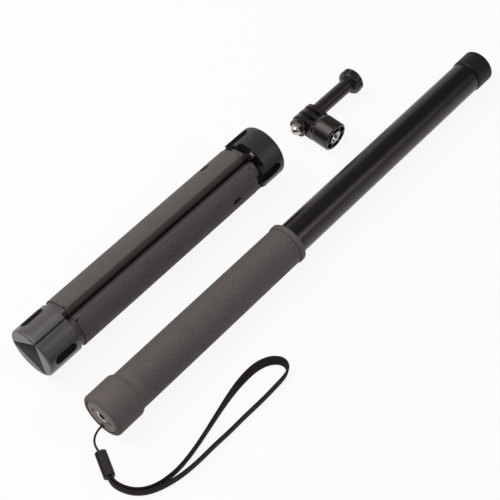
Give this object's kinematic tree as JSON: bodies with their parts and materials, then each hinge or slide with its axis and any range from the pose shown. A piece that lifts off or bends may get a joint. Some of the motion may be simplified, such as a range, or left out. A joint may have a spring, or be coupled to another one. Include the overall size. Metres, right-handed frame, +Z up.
{
  "type": "selfie stick tripod",
  "caption": "Telescopic selfie stick with a moulded grip and wrist strap, a folded mini tripod with rubber-clad legs, and a finger adapter with a thumb screw.",
  "frame": {"origin": "on the table, under the middle of the box round the set without its strap", "axes": "+Y along the pole from butt to head, +Z up from the table, +X from the tripod to the pole"},
  "size_m": [0.1376, 0.3982, 0.037],
  "materials": {
    "grip_rubber": "matte",
    "leg_rubber": "matte",
    "tube_black": "gloss",
    "tube_dark": "satin",
    "nylon_black": "matte",
    "hub_plastic": "matte",
    "collar_plastic": "matte",
    "thread_steel": "polished",
    "screw_steel": "satin",
    "pad_rubber": "matte",
    "strap_webbing": "woven",
    "clasp_metal": "satin"
  },
  "bodies": {
    "pole": {"outer_tube": "tube_black", "rubber_grip": "grip_rubber", "butt_plug": "hub_plastic", "butt_insert": "thread_steel", "strap_pin": "screw_steel", "outer_bush": "nylon_black", "strap_string": "strap_webbing", "strap_clasp": "clasp_metal", "strap_loop": "strap_webbing"},
    "mid_lock": {"mid_brake": "nylon_black"},
    "mid_section": {"mid_tube": "tube_dark", "mid_spigot": "nylon_black", "mid_bush": "nylon_black"},
    "inner_lock": {"inner_brake": "nylon_black"},
    "inner_section": {"inner_tube": "tube_dark", "inner_spigot": "nylon_black", "head_plug": "nylon_black", "head_stud": "thread_steel", "head_pad": "pad_rubber", "knurled_collar": "collar_plastic"},
    "tripod_hub": {"hub_shell": "hub_plastic", "hub_core": "nylon_black", "hub_stud": "thread_steel", "hub_pad": "pad_rubber", "core_screw": "screw_steel", "leg_pins": "screw_steel"},
    "lock_ring": {"lock_ring": "nylon_black"},
    "adapter": {"adapter_body": "nylon_black", "socket_insert": "thread_steel", "acorn_nut": "thread_steel"},
    "thumb_screw": {"thumb_knob": "nylon_black", "clamp_bolt": "screw_steel"},
    "leg_1": {"leg_1_frame": "hub_plastic", "leg_1_knuckle": "nylon_black", "leg_1_skin": "leg_rubber", "leg_1_foot": "hub_plastic", "leg_1_inlay": "pad_rubber", "leg_1_screw": "screw_steel"},
    "leg_2": {"leg_2_frame": "hub_plastic", "leg_2_knuckle": "nylon_black", "leg_2_skin": "leg_rubber", "leg_2_foot": "hub_plastic", "leg_2_inlay": "pad_rubber", "leg_2_screw": "screw_steel"},
    "leg_3": {"leg_3_frame": "hub_plastic", "leg_3_knuckle": "nylon_black", "leg_3_skin": "leg_rubber", "leg_3_foot": "hub_plastic", "leg_3_inlay": "pad_rubber", "leg_3_screw": "screw_steel"}
  },
  "joints": [
    {"name": "mid_slide", "type": "slide", "parent": "pole", "child": "mid_lock", "axis": [0, 1, 0], "range_m": [0, 0.24]},
    {"name": "mid_twist", "type": "hinge", "parent": "mid_lock", "child": "mid_section", "pos_m": [0.03175, -0.0775, 0.0152], "axis": [0, 1, 0], "range_deg": [0, 120]},
    {"name": "inner_slide", "type": "slide", "parent": "mid_section", "child": "inner_lock", "axis": [0, 1, 0], "range_m": [0, 0.1765]},
    {"name": "inner_twist", "type": "hinge", "parent": "inner_lock", "child": "inner_section", "pos_m": [0.03175, -0.0175, 0.0152], "axis": [0, 1, 0], "range_deg": [0, 120]},
    {"name": "tripod_lift", "type": "slide", "parent": "pole", "child": "tripod_hub", "axis": [0, 0, 1], "range_m": [0, 0.25]},
    {"name": "lock_ring_turn", "type": "hinge", "parent": "tripod_hub", "child": "lock_ring", "pos_m": [-0.02845, 0.0077, 0.0185], "axis": [0, 1, 0], "range_deg": [-12, 12]},
    {"name": "adapter_lift", "type": "slide", "parent": "pole", "child": "adapter", "axis": [0, 0, 1], "range_m": [0, 0.25]},
    {"name": "thumb_screw_turn", "type": "hinge", "parent": "adapter", "child": "thumb_screw", "pos_m": [-0.02792, 0.09065, 0.0103], "axis": [0, 1, 0], "continuous": true},
    {"name": "leg_1_spread", "type": "hinge", "parent": "tripod_hub", "child": "leg_1", "pos_m": [-0.03758, 0.0145, 0.02938], "axis": [-0.766, 0, -0.6428], "range_deg": [0, 62]},
    {"name": "leg_2_spread", "type": "hinge", "parent": "tripod_hub", "child": "leg_2", "pos_m": [-0.01447, 0.0145, 0.02097], "axis": [-0.1736, 0, 0.9848], "range_deg": [0, 62]},
    {"name": "leg_3_spread", "type": "hinge", "parent": "tripod_hub", "child": "leg_3", "pos_m": [-0.03331, 0.0145, 0.00516], "axis": [0.9397, 0, -0.342], "range_deg": [0, 62]}
  ],
  "couplings": [
    {"joint": "tripod_lift", "follows": "leg_2_spread", "m_per_rad": 0.231}
  ]
}
